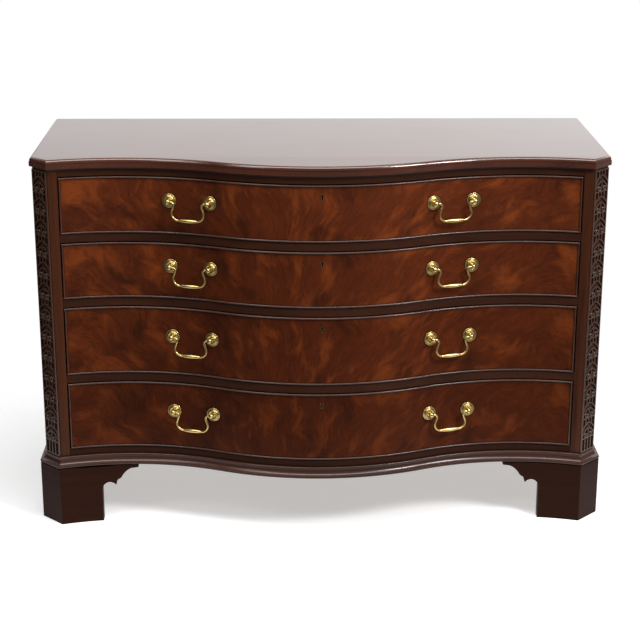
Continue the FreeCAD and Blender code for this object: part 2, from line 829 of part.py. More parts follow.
def rosette():
    """Round back plate: rim, hollow, raised ring and dished middle, bored for its post."""
    bore = post_neck + shank_clearance
    edge = rosette_radius - rosette_round
    quirk = edge - rosette_flat
    ring_out, ring_in = rosette_ring + rosette_bead, rosette_ring - rosette_bead
    ring_foot = rosette_height - rosette_bead
    steps = [(rosette_seat, bore), (rosette_seat, edge),
             ((rosette_rim / 2, rosette_radius), (rosette_rim, edge)),
             (rosette_rim, quirk), (rosette_rim - rosette_quirk, quirk),
             ((rosette_rim, ring_out + rosette_quirk), (ring_foot, ring_out)),
             ((rosette_height, rosette_ring), (ring_foot, ring_in)),
             ((rosette_height - rosette_dish, (ring_in + bore) / 2), (ring_foot, bore))]
    return lathe(steps)


def handle_post():
    """Bolt with a round eye, its waist in the rosette, its shank through the drawer front."""
    end = -front_thickness - nut_clearance - nut_thickness - shank_past_nut
    waist = eye_out - math.sqrt(ball_radius ** 2 - post_neck ** 2)
    across = math.sqrt(0.5) * ball_radius
    steps = [(end, 0), (end, post_shank), (post_seat, post_shank), (post_seat, post_neck), (waist, post_neck),
             ((eye_out, ball_radius), (eye_out + across, across)),
             ((eye_out + ball_radius * math.cos(math.pi / 8), ball_radius * math.sin(math.pi / 8)),
              (eye_out + ball_radius, 0))]
    return lathe(steps)


def post_nut():
    seat = front_thickness + nut_clearance
    back = seat + nut_thickness
    half = nut_width / 2
    nut = block(-half, half, seat, back, -half, half)
    bore = Part.makeCylinder(post_shank + shank_clearance, nut_thickness, Vec(0, back, 0), AHEAD)
    return one(nut.cut(bore))


def shank_hole():
    length = front_thickness + 2 * CUT_PAST
    return Part.makeCylinder(post_shank + shank_clearance, length, Vec(0, length - CUT_PAST, 0), AHEAD)


def handle_axis():
    """Middle of the right bail's axis, its turn about Z in radians, and half its length."""
    inner, outer = (eye_point(x) for x in post_places())
    along = outer - inner
    return (inner + outer) / 2, math.atan2(along.y, along.x), along.Length / 2


def eye_hole(x, z):
    """Hole for a pin of the right bail, in the ball of the post at x."""
    middle = handle_axis()[0]
    eye = eye_point(x)
    towards = (middle - eye).normalize()
    deep = pin_past + pin_end_clearance
    return Part.makeCylinder(pin_radius + pin_clearance, deep + ball_radius + CUT_PAST,
                             eye - towards * deep + UP * z, towards)


def handle_mounts(z):
    """Right handle's rosettes, posts and nuts, seated on the drawer front."""
    pieces = []
    for x in post_places():
        pieces.append(set_on_front(rosette(), x, z))
        pieces.append(one(set_on_front(handle_post(), x, z).cut(eye_hole(x, z))))
        pieces.append(set_on_front(post_nut(), x, z))
    return pieces


def bail(z):
    """Right swan-neck bail, hanging: pins, necks and a swelling grip."""
    middle, turn, half = handle_axis()
    tau = math.radians(neck_turn)
    bend_x = half - ball_radius - neck_clearance - neck_run
    rise = 1 - math.cos(tau)
    straight = (bail_drop - (neck_radius + elbow_radius) * rise) / math.sin(tau)
    neck_middle = Vec(bend_x, 0, -neck_radius)
    neck_end = neck_middle + Vec(-math.sin(tau), 0, math.cos(tau)) * neck_radius
    elbow_start = neck_end + Vec(-math.cos(tau), 0, -math.sin(tau)) * straight
    elbow_middle = elbow_start - Vec(math.sin(tau), 0, -math.cos(tau)) * elbow_radius
    elbow_end = elbow_middle - UP * elbow_radius
    shoulder = Vec(bend_x + neck_run, 0, 0)
    half_tau = tau / 2
    route = [Part.makeLine(shoulder, Vec(bend_x, 0, 0)),
             Part.Arc(Vec(bend_x, 0, 0),
                      neck_middle + Vec(-math.sin(half_tau), 0, math.cos(half_tau)) * neck_radius,
                      neck_end).toShape(),
             Part.makeLine(neck_end, elbow_start),
             Part.Arc(elbow_start,
                      elbow_middle + Vec(math.sin(half_tau), 0, -math.cos(half_tau)) * elbow_radius,
                      elbow_end).toShape()]
    wire_section = Part.Wire(Part.Circle(shoulder, Vec(1, 0, 0), wire_radius).toShape())
    neck = Part.Wire(route).makePipeShell([wire_section], True, False)
    pin = Part.makeCylinder(pin_radius, half + pin_past - shoulder.x, shoulder, Vec(1, 0, 0))
    half_bail = neck.fuse(pin)
    grip_x = elbow_end.x
    swell = ((0, grip_radius), (grip_x, wire_radius))
    grip_steps = [(-grip_x, 0), (-grip_x, wire_radius), swell, (grip_x, 0)]
    grip = section(grip_steps, lambda x, r: Vec(x, 0, r)).revolve(Vec(), Vec(1, 0, 0), 360)
    grip.translate(UP * -bail_drop)
    whole = one(half_bail.fuse([mirrored(half_bail), grip]))
    whole.rotate(Vec(), UP, math.degrees(turn))
    whole.translate(middle + UP * z)
    return whole


# Assembly

def make_drawer(number, z0, z1):
    """Every piece of one drawer in the bay from z0 to z1."""
    name = "drawer_%d_" % number
    front_z0, front_z1 = z0 + drawer_lift, z1 - drawer_top_gap
    handle_z = (front_z0 + front_z1) / 2 + handle_rise
    side_top = front_z1 - drawer_side_drop
    beads = drawer_beads(front_z0, front_z1)
    panel = drawer_panel(z0)
    tails = front_tails(front_z0 + bead_thickness, side_top)
    pins = back_pins(panel.BoundBox.ZMax, side_top - drawer_back_drop)
    front = drawer_front(front_z0, front_z1, handle_z, beads + with_mirrored(tails) + [panel])
    side = drawer_side_board(z0, side_top, tails, pins + [panel])
    mounts = handle_mounts(handle_z)
    right_bail = bail(handle_z)
    save(name + "front", front)
    save(name + "cockbead", *beads)
    save(name + "sides", *both_sides(side))
    save(name + "back", drawer_back_board(panel.BoundBox.ZMax, side_top - drawer_back_drop, pins))
    save(name + "bottom", panel)
    save(name + "lock", *drawer_lock(front_z1))
    save(name + "handle_mounts", *with_mirrored(mounts))
    save(name + "left_bail", mirrored(right_bail))
    save(name + "right_bail", right_bail)


def make_case():
    """Every fixed piece of the chest."""
    between = [(lower[1], upper[0]) for upper, lower in zip(bays, bays[1:])]
    lowest_rail = (foot_height, bays[-1][0])
    highest_rail = (bay_top, case_top)
    post = corner_post([lowest_rail, *between, highest_rail])
    panels = [dust_panel(z0, z1) for z0, z1 in between]
    drawer_rails = []
    runners = []
    for (z0, z1), panel in zip(between, panels):
        drawer_rails.append(one(serpentine_rail(z0, z1).cut([panel, strike(z0)])))
        runners += both_sides(one(runner(z0, z1, back_face).cut(panel)))
    lowest_runner = bays[-1][0] - rail
    runners += both_sides(runner(lowest_runner, bays[-1][0], back_face))
    runners += both_sides(runner(bay_top, case_top, back_face - back_rail_depth))
    guides = []
    stops = []
    for z0, z1 in bays:
        guides += both_sides(guide(z0))
        stops += both_sides(drawer_stop(z0))
    holes = top_screws(screw_clearance)
    right_fret = fret()
    foot, rear_foot = front_foot(), back_foot()

    save("top_board", top_board())
    save("left_side_panel", mirrored(side_panel()))
    save("right_side_panel", side_panel())
    save("left_corner_post", mirrored(post))
    save("right_corner_post", post)
    save("left_fret", mirrored(right_fret))
    save("right_fret", right_fret)
    save("back_boards", *back_panel())
    save("back_rail", one(back_rail().cut(holes)))
    save("top_rail", one(serpentine_rail(*highest_rail).cut(holes + [strike(bay_top)])))
    save("drawer_rails", *drawer_rails)
    save("bottom_rail", serpentine_rail(*lowest_rail))
    save("bottom_board", block(-inner_width, inner_width, rail_back, back_face,
                               lowest_runner - bottom_board, lowest_runner))
    save("dust_boards", *panels)
    save("drawer_runners", *runners)
    save("drawer_guides", *guides)
    save("drawer_stops", *stops)
    save("top_screws", *top_screws(0))
    save("base_moulding", *base_moulding())
    save("front_left_foot", mirrored(foot))
    save("front_right_foot", foot)
    save("back_left_foot", mirrored(rear_foot))
    save("back_right_foot", rear_foot)
    save("foot_blocks", *with_mirrored(foot_blocks()))


os.makedirs("parts", exist_ok=True)
make_case()
for number, (bay_low, bay_high) in enumerate(bays, start=1):
    make_drawer(number, bay_low, bay_high)
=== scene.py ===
import bmesh
import bpy
import math
from mathutils import Matrix, Vector


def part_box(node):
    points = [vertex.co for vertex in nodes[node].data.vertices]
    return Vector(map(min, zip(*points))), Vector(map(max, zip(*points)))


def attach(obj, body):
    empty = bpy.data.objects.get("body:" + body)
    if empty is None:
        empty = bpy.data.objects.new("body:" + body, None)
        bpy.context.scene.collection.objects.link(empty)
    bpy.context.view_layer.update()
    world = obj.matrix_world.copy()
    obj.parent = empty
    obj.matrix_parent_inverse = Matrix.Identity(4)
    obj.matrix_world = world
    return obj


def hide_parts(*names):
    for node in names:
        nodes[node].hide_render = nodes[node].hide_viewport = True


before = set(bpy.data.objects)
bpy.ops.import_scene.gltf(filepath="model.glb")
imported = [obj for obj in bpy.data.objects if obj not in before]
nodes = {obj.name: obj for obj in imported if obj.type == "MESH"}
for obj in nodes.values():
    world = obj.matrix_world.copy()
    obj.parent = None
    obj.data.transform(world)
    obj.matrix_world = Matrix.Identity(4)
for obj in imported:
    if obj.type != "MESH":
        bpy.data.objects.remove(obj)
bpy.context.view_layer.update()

DRAWERS = (1, 2, 3, 4)
BACK_BOARDS = 4
LEAF_STEP = 0.16                                       # how far the figure shifts from leaf to leaf
LEAF_DARKNESS_AND_SHADE = {1: 0.04, 2: 0.12, 3: 0.24, 4: 0.42}    # how much darker each drawer's veneer is painted: partly a darker leaf, partly painted shade deepening towards the floor


# Short words for laying out shader nodes

def tone(red, green, blue):
    """Colour from the 0-255 values it is mixed by."""
    def linear(part):
        part /= 255
        return part / 12.92 if part <= 0.04045 else ((part + 0.055) / 1.055) ** 2.4
    return linear(red), linear(green), linear(blue), 1.0


class Net:
    """One node tree, built from the inside out."""

    def __init__(self, tree):
        self.tree = tree

    def add(self, kind, **settings):
        node = self.tree.nodes.new("ShaderNode" + kind)
        for key, value in settings.items():
            setattr(node, key, value)
        return node

    def put(self, value, socket):
        """Link an output to a socket, or set a plain value on it."""
        if isinstance(value, bpy.types.NodeSocket):
            self.tree.links.new(value, socket)
        else:
            socket.default_value = value

    def maths(self, operation, *values, clamp=False):
        node = self.add("Math", operation=operation, use_clamp=clamp)
        for value, socket in zip(values, node.inputs):
            self.put(value, socket)
        return node.outputs[0]

    def vector(self, operation, *values):
        node = self.add("VectorMath", operation=operation)
        for value, socket in zip(values, node.inputs):
            self.put(value, socket)
        return node.outputs["Value" if operation in ("DOT_PRODUCT", "LENGTH") else "Vector"]

    def xyz(self, x, y, z):
        node = self.add("CombineXYZ")
        for value, socket in zip((x, y, z), node.inputs):
            self.put(value, socket)
        return node.outputs[0]

    def parts(self, vector):
        node = self.add("SeparateXYZ")
        self.put(vector, node.inputs[0])
        return node.outputs[:3]

    def spread(self, value, low, high, to_low=0.0, to_high=1.0, smooth=False):
        node = self.add("MapRange", interpolation_type="SMOOTHSTEP" if smooth else "LINEAR")
        for item, socket in zip((value, low, high, to_low, to_high), node.inputs):
            self.put(item, socket)
        return node.outputs[0]

    def noise(self, vector, scale, detail=2.0, rough=0.5, bend=0.0):
        node = self.add("TexNoise")
        self.put(vector, node.inputs["Vector"])
        for name, value in (("Scale", scale), ("Detail", detail), ("Roughness", rough), ("Distortion", bend)):
            self.put(value, node.inputs[name])
        return node.outputs[0]

    def mix(self, first, second, share, blend="MIX"):
        node = self.add("Mix", data_type="RGBA", blend_type=blend)
        self.put(share, node.inputs[0])
        self.put(first, node.inputs[6])
        self.put(second, node.inputs[7])
        return node.outputs[2]

    def use(self, group, **inputs):
        """A group's outputs by name."""
        node = self.add("Group", node_tree=group)
        for name, value in inputs.items():
            self.put(value, node.inputs[name.replace("_", " ")])
        return node.outputs


def new_group(name, inputs, outputs):
    """Empty group with named sockets. Returns it, its net, its inputs and its output node."""
    tree = bpy.data.node_groups.new(name, "ShaderNodeTree")
    for label, kind, value in inputs:
        socket = tree.interface.new_socket(label, in_out="INPUT", socket_type="NodeSocket" + kind)
        if value is not None:
            socket.default_value = value
    for label, kind in outputs:
        tree.interface.new_socket(label, in_out="OUTPUT", socket_type="NodeSocket" + kind)
    net = Net(tree)
    return tree, net, tree.nodes.new("NodeGroupInput").outputs, tree.nodes.new("NodeGroupOutput")


# Shared effects

def make_straight_grain():
    """Streaks, fibres and pores of a board whose grain runs along the vector's X."""
    tree, net, given, out = new_group(
        "straight_grain",
        [("Vector", "Vector", None), ("Wander", "Float", 0.012)],
        [("Streak", "Float"), ("Fibre", "Float"), ("Pore", "Float"), ("Cloud", "Float")])
    place = given["Vector"]
    sway = net.maths("SUBTRACT", net.noise(place, 3.1, 2.0), 0.5)
    sway = net.maths("MULTIPLY", sway, given["Wander"])
    along, across, deep = net.parts(place)
    swayed = net.xyz(along, net.maths("ADD", across, sway), deep)
    streak = net.noise(net.vector("MULTIPLY", swayed, (1.6, 34.0, 34.0)), 1.0, 5.0, 0.62, 0.4)
    fibre = net.noise(net.vector("MULTIPLY", swayed, (7.0, 420.0, 420.0)), 1.0, 3.0, 0.6)
    pore = net.noise(net.vector("MULTIPLY", swayed, (85.0, 1500.0, 1500.0)), 1.0, 1.0)
    cloud = net.noise(net.vector("MULTIPLY", place, (3.0, 6.0, 6.0)), 1.0, 3.0, 0.55, 0.6)
    net.put(net.spread(streak, 0.28, 0.74), out.inputs["Streak"])
    net.put(net.spread(fibre, 0.25, 0.75), out.inputs["Fibre"])
    net.put(net.spread(pore, 0.60, 0.70), out.inputs["Pore"])
    net.put(net.spread(cloud, 0.32, 0.70), out.inputs["Cloud"])
    return tree


def make_plume_figure():
    """Figure of a veneer cut through a fork: flames that fan out from below the middle.

    The vector is the place along the front, the height above the middle of the
    drawer, and how far down the stack of leaves this one was cut."""
    tree, net, given, out = new_group(
        "plume_figure",
        [("Vector", "Vector", None)],
        [("Broad", "Float"), ("Patch", "Float"), ("Feather", "Float"), ("Light", "Float"), ("Dark", "Float"),
         ("Pore", "Float")])
    along, height, leaf = net.parts(given["Vector"])
    root_x, root_depth, lit_flank_x = -0.10, 0.36, 0.17
    drift = net.noise(net.vector("MULTIPLY", given["Vector"], (6.0, 8.0, 1.0)), 1.0, 2.0)
    drift = net.maths("MULTIPLY", net.maths("SUBTRACT", drift, 0.5), 0.24)
    side = net.maths("SUBTRACT", along, root_x)
    rise = net.maths("ADD", height, root_depth)
    turn = net.maths("ADD", net.maths("ARCTAN2", side, rise), drift)
    reach = net.vector("LENGTH", net.xyz(side, rise, 0.0))

    def laid(across, lengthways, shift):
        return net.xyz(net.maths("MULTIPLY", turn, across),
                       net.maths("MULTIPLY", reach, lengthways), net.maths("ADD", leaf, shift))

    # painted light: a paler band on the bow's right flank, where the right-hand lamp falls, added into the
    # broad figure
    lit_flank = net.maths("ABSOLUTE", net.maths("SUBTRACT", along, lit_flank_x))
    broad = net.maths("ADD", net.noise(laid(3.4, 5.0, 0.7), 1.0, 2.0, 0.5, 0.3),
                      net.spread(lit_flank, 0.0, 0.24, 0.32, 0.0, smooth=True))
    patch = net.noise(laid(16.0, 16.0, 3.1), 1.0, 6.0, 0.70, 0.15)
    feather = net.noise(laid(80.0, 34.0, 5.2), 1.0, 5.0, 0.74, 0.15)
    light = net.noise(laid(10.0, 9.0, 4.3), 1.0, 5.0, 0.6, 0.2)
    dark = net.noise(laid(8.0, 10.0, 9.1), 1.0, 5.0, 0.6, 0.2)
    pore = net.noise(laid(620.0, 95.0, 2.0), 1.0, 1.0)
    net.put(net.spread(broad, 0.30, 0.76), out.inputs["Broad"])
    net.put(net.spread(patch, 0.28, 0.72), out.inputs["Patch"])
    net.put(net.spread(feather, 0.30, 0.72), out.inputs["Feather"])
    net.put(net.spread(light, 0.48, 0.70, smooth=True), out.inputs["Light"])
    net.put(net.spread(dark, 0.52, 0.70, smooth=True), out.inputs["Dark"])
    net.put(net.spread(pore, 0.60, 0.72), out.inputs["Pore"])
    return tree


def make_old_polish():
    """Rubbed patches and dull spots in a hand-laid polish, as a change of roughness."""
    tree, net, given, out = new_group(
        "old_polish",
        [("Vector", "Vector", None), ("Even", "Float", 0.3), ("Uneven", "Float", 0.08)],
        [("Roughness", "Float"), ("Height", "Float")])
    broad = net.noise(given["Vector"], 9.0, 3.0, 0.6)
    fine = net.noise(given["Vector"], 160.0, 2.0)
    patchy = net.maths("ADD", net.maths("MULTIPLY", broad, 0.8), net.maths("MULTIPLY", fine, 0.2))
    shift = net.maths("MULTIPLY", net.maths("SUBTRACT", patchy, 0.5), given["Uneven"])
    net.put(net.maths("ADD", given["Even"], net.maths("MULTIPLY", shift, 2.0)), out.inputs["Roughness"])
    net.put(net.noise(given["Vector"], 28.0, 2.0, 0.4), out.inputs["Height"])
    return tree


def make_grime_and_shade():
    """Painted shade in corners and narrow gaps, darker where the occlusion is deeper; it stands also for dark
    wax and dust gathered there.
    """
    tree, net, given, out = new_group("grime_and_shade", [("Depth", "Float", 0.005)], [("Grime_And_Shade", "Float")])
    shut_in = net.add("AmbientOcclusion", samples=6)
    net.put(given["Depth"], shut_in.inputs["Distance"])
    net.put(net.spread(shut_in.outputs["AO"], 0.90, 0.45, 0.0, 0.92), out.inputs["Grime_And_Shade"])
    return tree


def make_tarnish_and_shade():
    """Brown film on old metal: mottled, and thick in the hollows. Where its tone is near black, the film in
    the hollows is painted shade.
    """
    tree, net, given, out = new_group(
        "tarnish_and_shade",
        [("Vector", "Vector", None), ("Hollow Depth", "Float", 0.006)],
        [("Film_And_Shade", "Float"), ("Scratch", "Float")])
    mottle = net.noise(given["Vector"], 130.0, 4.0, 0.6)
    hollow = net.add("AmbientOcclusion", samples=8)
    net.put(given["Hollow Depth"], hollow.inputs["Distance"])
    shut_in = net.spread(hollow.outputs["AO"], 0.90, 0.48)
    spots = net.spread(mottle, 0.50, 0.85, 0.0, 0.14)
    film = net.maths("ADD", net.maths("MULTIPLY", shut_in, 0.96), spots, clamp=True)
    rubbed = net.vector("MULTIPLY", given["Vector"], (900.0, 260.0, 900.0))
    net.put(film, out.inputs["Film_And_Shade"])
    net.put(net.noise(rubbed, 1.0, 2.0), out.inputs["Scratch"])
    return tree


STRAIGHT_GRAIN = make_straight_grain()
PLUME_FIGURE = make_plume_figure()
OLD_POLISH = make_old_polish()
GRIME_AND_SHADE = make_grime_and_shade()
TARNISH_AND_SHADE = make_tarnish_and_shade()


# Materials

def new_material(name):
    material = bpy.data.materials.new(name)
    material.use_nodes = True
    net = Net(material.node_tree)
    shader = material.node_tree.nodes["Principled BSDF"]
    place = net.add("TexCoord").outputs["Object"]
    return material, net, shader, place


def bumped(net, shader, height, depth, strength):
    bump = net.add("Bump")
    bump.inputs["Strength"].default_value = strength
    bump.inputs["Distance"].default_value = depth
    net.put(height, bump.inputs["Height"])
    net.put(bump.outputs[0], shader.inputs["Normal"])


def polish(net, shader, place, even, uneven, coat, pore, level, ripple):
    """Shellac over open pores."""
    shader.inputs["Specular IOR Level"].default_value = level
    shader.inputs["Coat Weight"].default_value = coat
    shader.inputs["Coat Roughness"].default_value = 0.14
    finish = net.use(OLD_POLISH, Vector=place, Even=even, Uneven=uneven)
    net.put(finish["Roughness"], shader.inputs["Roughness"])
    swell = net.maths("MULTIPLY", finish["Height"], 0.4)
    bumped(net, shader, net.maths("SUBTRACT", swell, net.maths("MULTIPLY", pore, 0.5)), 0.0003, ripple)


def veneer_material(number, middle, leaf, depth):
    """Figured veneer of one drawer front."""
    material, net, shader, place = new_material("figured_mahogany_drawer_%d" % number)
    x, y, z = net.parts(place)
    spot = net.xyz(x, net.maths("SUBTRACT", z, middle), leaf)
    figure = net.use(PLUME_FIGURE, Vector=spot)
    colour = net.mix(tone(64, 26, 11), tone(92, 39, 16), figure["Broad"])
    colour = net.mix(colour, tone(112, 50, 20), net.maths("MULTIPLY", figure["Patch"], 0.66))
    colour = net.mix(colour, tone(40, 17, 9), net.maths("MULTIPLY", figure["Feather"], 0.62))
    colour = net.mix(colour, tone(146, 70, 27), net.maths("MULTIPLY", figure["Light"], 0.50))
    colour = net.mix(colour, tone(34, 16, 10), net.maths("MULTIPLY", figure["Dark"], 0.58))
    colour = net.mix(colour, tone(24, 11, 6), net.maths("MULTIPLY", figure["Pore"], 0.46))
    # painted shade: the lower the drawer, the darker its veneer, partly a darker leaf and partly light
    # falling off towards the floor
    colour = net.mix(colour, tone(36, 15, 8), depth)
    # painted shade: the veneer is darkened in the corner by the bead and in the gaps, also standing for dark
    # wax
    colour = net.mix(colour, tone(16, 8, 5), net.use(GRIME_AND_SHADE, Depth=0.004)["Grime_And_Shade"])
    net.put(colour, shader.inputs["Base Color"])
    polish(net, shader, place, 0.34, 0.07, 0.0, figure["Pore"], 0.14 - 0.02 * number, 0.35)
    return material


def board_material(name, along, dark, light, even, coat=0.0, level=0.14, grime_and_shade=0.0, ripple=0.3, rows=None):
    """Straight-grained board. The grain runs along x, y, z, or xy and yx round a corner.

    Rows of boards, one above the other, are given by the lowest edge and a board's height."""
    material, net, shader, place = new_material(name)
    x, y, z = net.parts(place)
    if rows:
        above = net.maths("SUBTRACT", z, rows[0])
        row = net.maths("FLOOR", net.maths("DIVIDE", above, rows[1]))
        x = net.maths("ADD", x, net.maths("MULTIPLY", row, 3.7))
    laid = {"x": lambda: net.xyz(x, z, y), "y": lambda: net.xyz(y, z, x), "z": lambda: net.xyz(z, x, y),
            "xy": lambda: net.xyz(net.maths("ADD", x, y), z, 0.0),
            "yx": lambda: net.xyz(net.maths("SUBTRACT", x, y), z, 0.0)}[along]()
    grain = net.use(STRAIGHT_GRAIN, Vector=laid)
    colour = net.mix(dark, light, grain["Streak"])
    colour = net.mix(colour, light, net.maths("MULTIPLY", grain["Cloud"], 0.35))
    colour = net.mix(colour, dark, net.maths("MULTIPLY", grain["Fibre"], 0.35))
    shade = tuple(0.45 * part for part in dark[:3]) + (1.0,)
    if rows:
        chance = net.add("TexWhiteNoise", noise_dimensions="1D")
        net.put(row, chance.inputs["W"])
        colour = net.mix(colour, dark, net.maths("MULTIPLY", chance.outputs["Value"], 0.55))
        joint = net.spread(net.maths("PINGPONG", above, rows[1] / 2), 0.0006, 0.0018, 0.85, 0.0)
        colour = net.mix(colour, tone(24, 16, 9), joint)
    colour = net.mix(colour, shade, net.maths("MULTIPLY", grain["Pore"], 0.45))
    # painted shade: corners, gaps and the strip under the top's overhang are darkened, also standing for dark
    # wax
    if grime_and_shade:
        colour = net.mix(colour, tone(12, 7, 5), net.use(GRIME_AND_SHADE, Depth=grime_and_shade)["Grime_And_Shade"])
    net.put(colour, shader.inputs["Base Color"])
    polish(net, shader, place, even, 0.08, coat, grain["Pore"], level, ripple)
    return material


def metal_material(name, bright, film_and_shade_tone, rough, depth):
    material, net, shader, place = new_material(name)
    worn_and_shaded = net.use(TARNISH_AND_SHADE, Vector=place, Hollow_Depth=depth)
    net.put(net.mix(bright, film_and_shade_tone, worn_and_shaded["Film_And_Shade"]), shader.inputs["Base Color"])
    shader.inputs["Metallic"].default_value = 1.0
    net.put(net.maths("ADD", rough, net.maths("MULTIPLY", worn_and_shaded["Film_And_Shade"], 0.15)), shader.inputs["Roughness"])
    bumped(net, shader, worn_and_shaded["Scratch"], 0.00001, 0.05)
    return material


def dress(material, *names):
    for name in names:
        node = nodes[name]
        node.data.materials.clear()
        node.data.materials.append(material)


def soften(width, *names):
    """Rounds the arrises of a piece by that much."""
    for name in names:
        stack = nodes[name].modifiers
        stack.new("joined_faces", "WELD").merge_threshold = 0.00001
        flat = stack.new("whole_flats", "DECIMATE")
        flat.decimate_type = "DISSOLVE"
        flat.angle_limit = math.radians(0.15)
        arris = stack.new("soft_arris", "BEVEL")
        arris.width = width
        arris.segments = 3
        arris.limit_method = "ANGLE"
        arris.angle_limit = math.radians(32)
        arris.use_clamp_overlap = False
        stack.new("even_shading", "WEIGHTED_NORMAL").weight = 100


drawer_middles = {}
for number in DRAWERS:
    low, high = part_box("drawer_%d_front" % number)
    drawer_middles[number] = (low.z + high.z) / 2

back_low, back_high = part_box("back_boards")
back_rows = back_low.z, (back_high.z - back_low.z) / BACK_BOARDS

# Metals
BRASS = metal_material("handle_brass", tone(216, 190, 124), tone(56, 40, 18), 0.29, 0.0028)
# painted shade: the near-black film fills the keyhole and the lock's hollows
LOCK_BRASS = metal_material("lock_brass", tone(164, 146, 108), tone(8, 6, 5), 0.40, 0.008)
STEEL = metal_material("screw_steel", tone(120, 118, 114), tone(62, 54, 48), 0.42, 0.003)

# Polished mahogany
# The darkening depths given below paint shade into corners and gaps; on the top they paint the shadow under
# the overhang.
TOP = board_material("polished_top_mahogany", "x", tone(52, 23, 12), tone(92, 45, 25),
                     0.17, 0.6, 0.5, grime_and_shade=0.009, ripple=0.1)
RAIL = board_material("rail_mahogany", "x", tone(42, 22, 14), tone(68, 38, 25),
                      0.30, level=0.12, grime_and_shade=0.005)
# painted shade: a darker copy of the rail colour for the bottom rail, low down by the floor
SHADED_LOW_RAIL = board_material("bottom_rail_mahogany_shaded", "x", tone(38, 19, 11), tone(60, 32, 20),
                          0.30, level=0.06, grime_and_shade=0.005)
POST = board_material("post_mahogany", "z", tone(42, 20, 11), tone(86, 46, 26),
                      0.32, level=0.14, grime_and_shade=0.005)
SIDE = board_material("side_mahogany", "z", tone(60, 29, 16), tone(100, 52, 30),
                      0.30, level=0.2, grime_and_shade=0.004)
BASE = board_material("base_mahogany", "xy", tone(46, 24, 16), tone(76, 42, 29),
                      0.24, level=0.5, grime_and_shade=0.003, ripple=0.05)
FOOT = board_material("foot_mahogany", "xy", tone(30, 15, 9), tone(54, 27, 16),
                      0.34, level=0.04, grime_and_shade=0.004)
FOOT_LEFT = board_material("left_foot_mahogany", "yx", tone(30, 15, 9), tone(54, 27, 16),
                           0.34, level=0.04, grime_and_shade=0.004)
FRET = board_material("fret_mahogany", "z", tone(50, 30, 21), tone(88, 58, 42),
                      0.26, level=0.5, grime_and_shade=0.002, ripple=0.1)
BEAD = board_material("cockbead_mahogany", "x", tone(48, 26, 17), tone(86, 53, 38),
                      0.20, level=0.5, grime_and_shade=0.003, ripple=0.05)

# Bare wood
DRAWER_WOOD = board_material("drawer_oak", "y", tone(120, 86, 52), tone(170, 130, 86), 0.6, 0.0, 0.3)
DRAWER_BOTTOM = board_material("drawer_bottom_oak", "x", tone(116, 84, 52), tone(166, 128, 86), 0.6, 0.0, 0.3)
PALE = board_material("case_pine", "x", tone(138, 100, 60), tone(186, 146, 98), 0.7, 0.0, 0.3)
PALE_RUN = board_material("runner_pine", "y", tone(134, 98, 60), tone(180, 142, 96), 0.7, 0.0, 0.3)
BACK = board_material("back_pine", "x", tone(112, 78, 45), tone(172, 130, 84), 0.7, 0.0, 0.2, rows=back_rows)

dress(TOP, "top_board")
dress(RAIL, "top_rail", "drawer_rails")
dress(SHADED_LOW_RAIL, "bottom_rail")
dress(POST, "left_corner_post", "right_corner_post")
dress(SIDE, "left_side_panel", "right_side_panel")
dress(BASE, "base_moulding")
dress(FOOT, "front_right_foot", "back_right_foot")
dress(FOOT_LEFT, "front_left_foot", "back_left_foot")
dress(FRET, "left_fret", "right_fret")
dress(BACK, "back_boards")
dress(PALE, "back_rail", "bottom_board", "dust_boards", "drawer_stops", "foot_blocks")
dress(PALE_RUN, "drawer_runners", "drawer_guides")
dress(STEEL, "top_screws")
for number in DRAWERS:
    drawer = "drawer_%d_" % number
    veneer = veneer_material(number, drawer_middles[number], LEAF_STEP * number, LEAF_DARKNESS_AND_SHADE[number])
    dress(veneer, drawer + "front")
    dress(BEAD, drawer + "cockbead")
    dress(DRAWER_WOOD, drawer + "sides")
    dress(DRAWER_BOTTOM, drawer + "back", drawer + "bottom")
    dress(LOCK_BRASS, drawer + "lock")
    dress(BRASS, drawer + "handle_mounts", drawer + "left_bail", drawer + "right_bail")

soften(0.0008, "front_left_foot", "front_right_foot", "back_left_foot", "back_right_foot")
soften(0.0012, "left_corner_post", "right_corner_post")
soften(0.0007, "top_rail", "drawer_rails", "bottom_rail")


# Mouldings, run in one sweep along the front

BOW, HOLLOW, HOLLOW_X = 0.600, 0.576, 0.470    # radii of the front's curves, and the middle of a hollow
CANT = 0.040                                   # each leg of the 45 degree corner
BEAD_WIDE, BEAD_PROUD, BEAD_DEEP = 0.004, 0.003, 0.015
TOP_OUT, TOP_CROWN, TOP_QUIRK, TOP_ROUND, TOP_UNDER = 0.0070, 0.0110, 0.0015, 0.0085, 0.0050
BASE_OUT, BASE_FLAT, BASE_QUIRK, BASE_BEAD = 0.0170, 0.0025, 0.0016, 0.0035
COVE_REACH, COVE_HIGH = 0.0105, 0.0130
STATIONS = 200
CURVE_STEPS = 14

half_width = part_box("right_side_panel")[1].x
bow_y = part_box("drawer_1_front")[0].y + BOW
hollow_y = bow_y - math.sqrt((BOW + HOLLOW) ** 2 - HOLLOW_X ** 2)


def front_y(x, out):
    """Y of the front at x, that far out from its face."""
    x = abs(x)
    if x <= (BOW + out) * HOLLOW_X / (BOW + HOLLOW):
        return bow_y - math.sqrt((BOW + out) ** 2 - x ** 2)
    return hollow_y + math.sqrt((HOLLOW - out) ** 2 - (x - HOLLOW_X) ** 2)


corner_y = front_y(half_width - CANT, 0.0) + CANT


def front_corner(out):
    """X where the front meets the right cant, that far out from the case."""
    radius = HOLLOW - out
    shift = HOLLOW_X - hollow_y - (half_width - corner_y + out * math.sqrt(2))
    return HOLLOW_X + (math.sqrt(2 * radius ** 2 - shift ** 2) - shift) / 2


